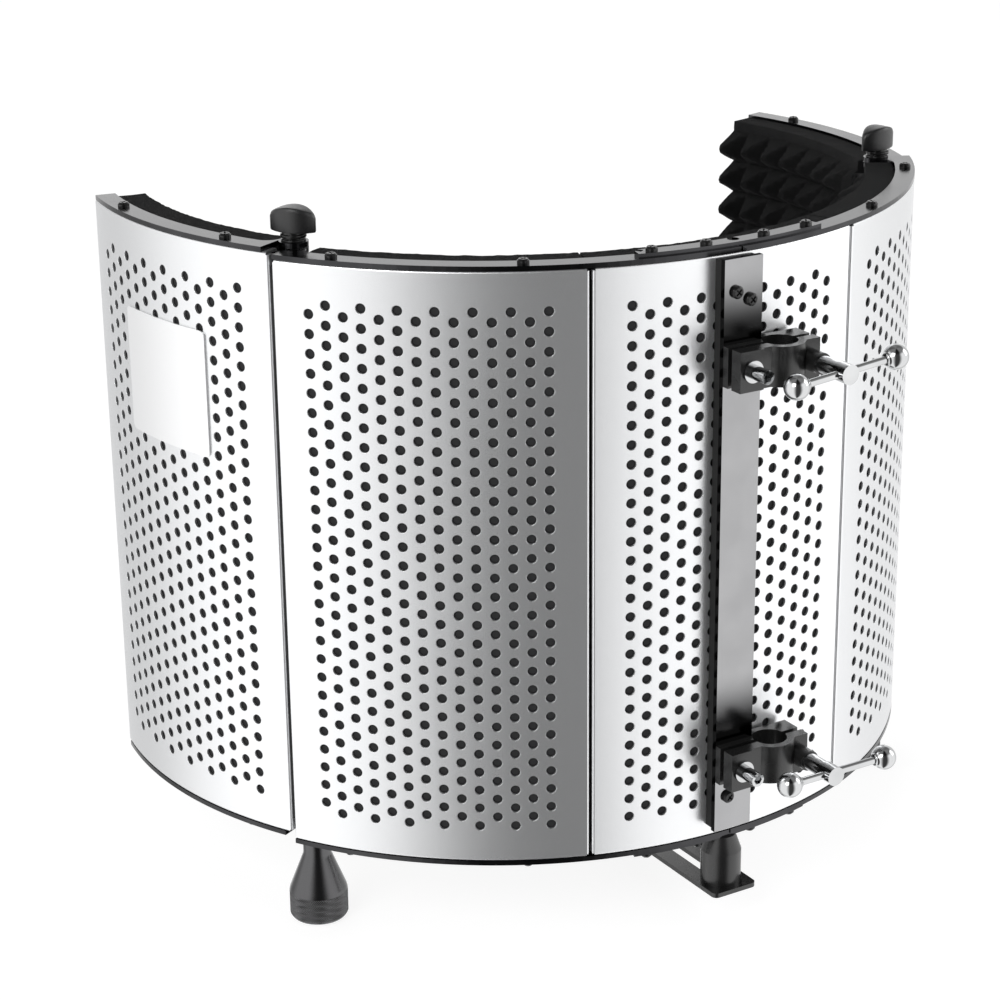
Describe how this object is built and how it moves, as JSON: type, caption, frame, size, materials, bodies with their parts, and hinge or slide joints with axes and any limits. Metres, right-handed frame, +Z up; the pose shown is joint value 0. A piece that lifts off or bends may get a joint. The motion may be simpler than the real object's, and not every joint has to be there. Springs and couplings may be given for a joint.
{
  "type": "microphone isolation shield",
  "caption": "Folding curved wall of perforated aluminium panels lined with pyramid foam, with screw clamps for a stand tube and a slotted microphone plate.",
  "frame": {"origin": "on the axis of the stand tube's bore, half-way up the lower clamp", "axes": "+Z up along the stand tube, +Y from the stand into the open side of the shield, +X to the right seen from the stand side"},
  "size_m": [0.444, 0.3236, 0.3845],
  "materials": {
    "foam": "open-cell foam, matt",
    "sheet": "satin anodised, perforated",
    "rim_strip": "satin black",
    "black_screws": "gloss black",
    "plain_steel": "zinc plated",
    "bar_steel": "satin black",
    "packing": "matt black",
    "cast_jaw": "satin black powder coat",
    "bright_chrome": "polished",
    "knob_plastic": "fine matt grain",
    "foot_rubber": "matt with a knurled band",
    "black_metal": "satin black",
    "label": "satin, blank"
  },
  "bodies": {
    "frame": {"centre_panel": "sheet", "left_side_panel": "sheet", "right_side_panel": "sheet", "centre_foam": "foam", "left_side_foam": "foam", "right_side_foam": "foam", "top_rim_left": "rim_strip", "top_rim_right": "rim_strip", "bottom_rim_left": "rim_strip", "bottom_rim_right": "rim_strip", "top_lap_plate": "rim_strip", "bottom_lap_plate": "rim_strip", "rim_screws": "black_screws", "hinge_nuts": "plain_steel", "mounting_bar": "bar_steel", "bar_spacer": "packing", "bar_screws": "black_screws", "bar_nuts": "plain_steel", "upper_rear_jaw": "cast_jaw", "lower_rear_jaw": "cast_jaw", "jaw_bolts": "bright_chrome", "jaw_washers": "bright_chrome", "plate_spacer": "black_metal", "plate_bolt": "black_screws", "plate_bolt_nut": "plain_steel"},
    "upper_jaw": {"upper_front_jaw": "cast_jaw"},
    "upper_screw": {"upper_clamp_screw": "bright_chrome", "upper_screw_sleeve": "black_metal"},
    "upper_rod": {"upper_cross_rod": "bright_chrome", "upper_rod_balls": "bright_chrome"},
    "lower_jaw": {"lower_front_jaw": "cast_jaw"},
    "lower_screw": {"lower_clamp_screw": "bright_chrome", "lower_screw_sleeve": "black_metal"},
    "lower_rod": {"lower_cross_rod": "bright_chrome", "lower_rod_balls": "bright_chrome"},
    "left_wing": {"left_wing_panel": "sheet", "left_wing_foam": "foam", "left_wing_top_rim": "rim_strip", "left_wing_bottom_rim": "rim_strip", "left_wing_screws": "black_screws", "left_wing_nut": "plain_steel", "label_plate": "label"},
    "right_wing": {"right_wing_panel": "sheet", "right_wing_foam": "foam", "right_wing_top_rim": "rim_strip", "right_wing_bottom_rim": "rim_strip", "right_wing_screws": "black_screws", "right_wing_nut": "plain_steel"},
    "left_knob": {"left_knob": "knob_plastic", "left_knob_stud": "plain_steel"},
    "right_knob": {"right_knob": "knob_plastic", "right_knob_stud": "plain_steel"},
    "left_foot": {"left_cone_foot": "foot_rubber", "left_foot_stud": "plain_steel"},
    "right_foot": {"right_cone_foot": "foot_rubber", "right_foot_stud": "plain_steel"},
    "plate": {"mic_plate": "bar_steel"},
    "stud": {"mic_stud": "plain_steel", "stud_thumb_nut": "knob_plastic"}
  },
  "joints": [
    {"name": "left_wing_hinge", "type": "hinge", "parent": "frame", "child": "left_wing", "pos_m": [-0.19419, 0.13404, 0.1103], "axis": [0, 0, -1], "range_deg": [-5, 74]},
    {"name": "right_wing_hinge", "type": "hinge", "parent": "frame", "child": "right_wing", "pos_m": [0.16619, 0.13404, 0.1103], "axis": [0, 0, 1], "range_deg": [-10.5, 68.5]},
    {"name": "left_knob_turn", "type": "hinge", "parent": "frame", "child": "left_knob", "pos_m": [-0.19419, 0.13404, 0.2703], "axis": [0, 0, 1], "continuous": true},
    {"name": "right_knob_turn", "type": "hinge", "parent": "frame", "child": "right_knob", "pos_m": [0.16619, 0.13404, 0.2703], "axis": [0, 0, 1], "continuous": true},
    {"name": "left_foot_turn", "type": "hinge", "parent": "frame", "child": "left_foot", "pos_m": [-0.19419, 0.13404, -0.0497], "axis": [0, 0, 1], "continuous": true},
    {"name": "right_foot_turn", "type": "hinge", "parent": "frame", "child": "right_foot", "pos_m": [0.16619, 0.13404, -0.0497], "axis": [0, 0, 1], "continuous": true},
    {"name": "upper_jaw_slide", "type": "slide", "parent": "frame", "child": "upper_jaw", "axis": [0, 1, 0], "range_m": [0, 0.0025]},
    {"name": "upper_screw_turn", "type": "hinge", "parent": "upper_jaw", "child": "upper_screw", "pos_m": [0.013, -0.0085, 0.212], "axis": [0, 1, 0], "range_deg": [0, 900]},
    {"name": "upper_rod_slide", "type": "slide", "parent": "upper_screw", "child": "upper_rod", "axis": [0.9962, 0, 0.0872], "range_m": [-0.0195, 0.0165]},
    {"name": "lower_jaw_slide", "type": "slide", "parent": "frame", "child": "lower_jaw", "axis": [0, 1, 0], "range_m": [0, 0.0025]},
    {"name": "lower_screw_turn", "type": "hinge", "parent": "lower_jaw", "child": "lower_screw", "pos_m": [0.013, -0.0085, 0], "axis": [0, 1, 0], "range_deg": [0, 900]},
    {"name": "lower_rod_slide", "type": "slide", "parent": "lower_screw", "child": "lower_rod", "axis": [1, 0, 0], "range_m": [-0.0225, 0.0135]},
    {"name": "mic_plate_swivel", "type": "hinge", "parent": "frame", "child": "plate", "pos_m": [-0.014, 0.021, -0.0777], "axis": [0, 0, 1], "range_deg": [-45, 45]},
    {"name": "mic_stud_slide", "type": "slide", "parent": "plate", "child": "stud", "axis": [0, 1, 0], "range_m": [-0.05, 0.05]}
  ],
  "couplings": [
    {"joint": "upper_jaw_slide", "follows": "upper_screw_turn", "m_per_rad": 0.00015915},
    {"joint": "lower_jaw_slide", "follows": "lower_screw_turn", "m_per_rad": 0.00015915}
  ]
}
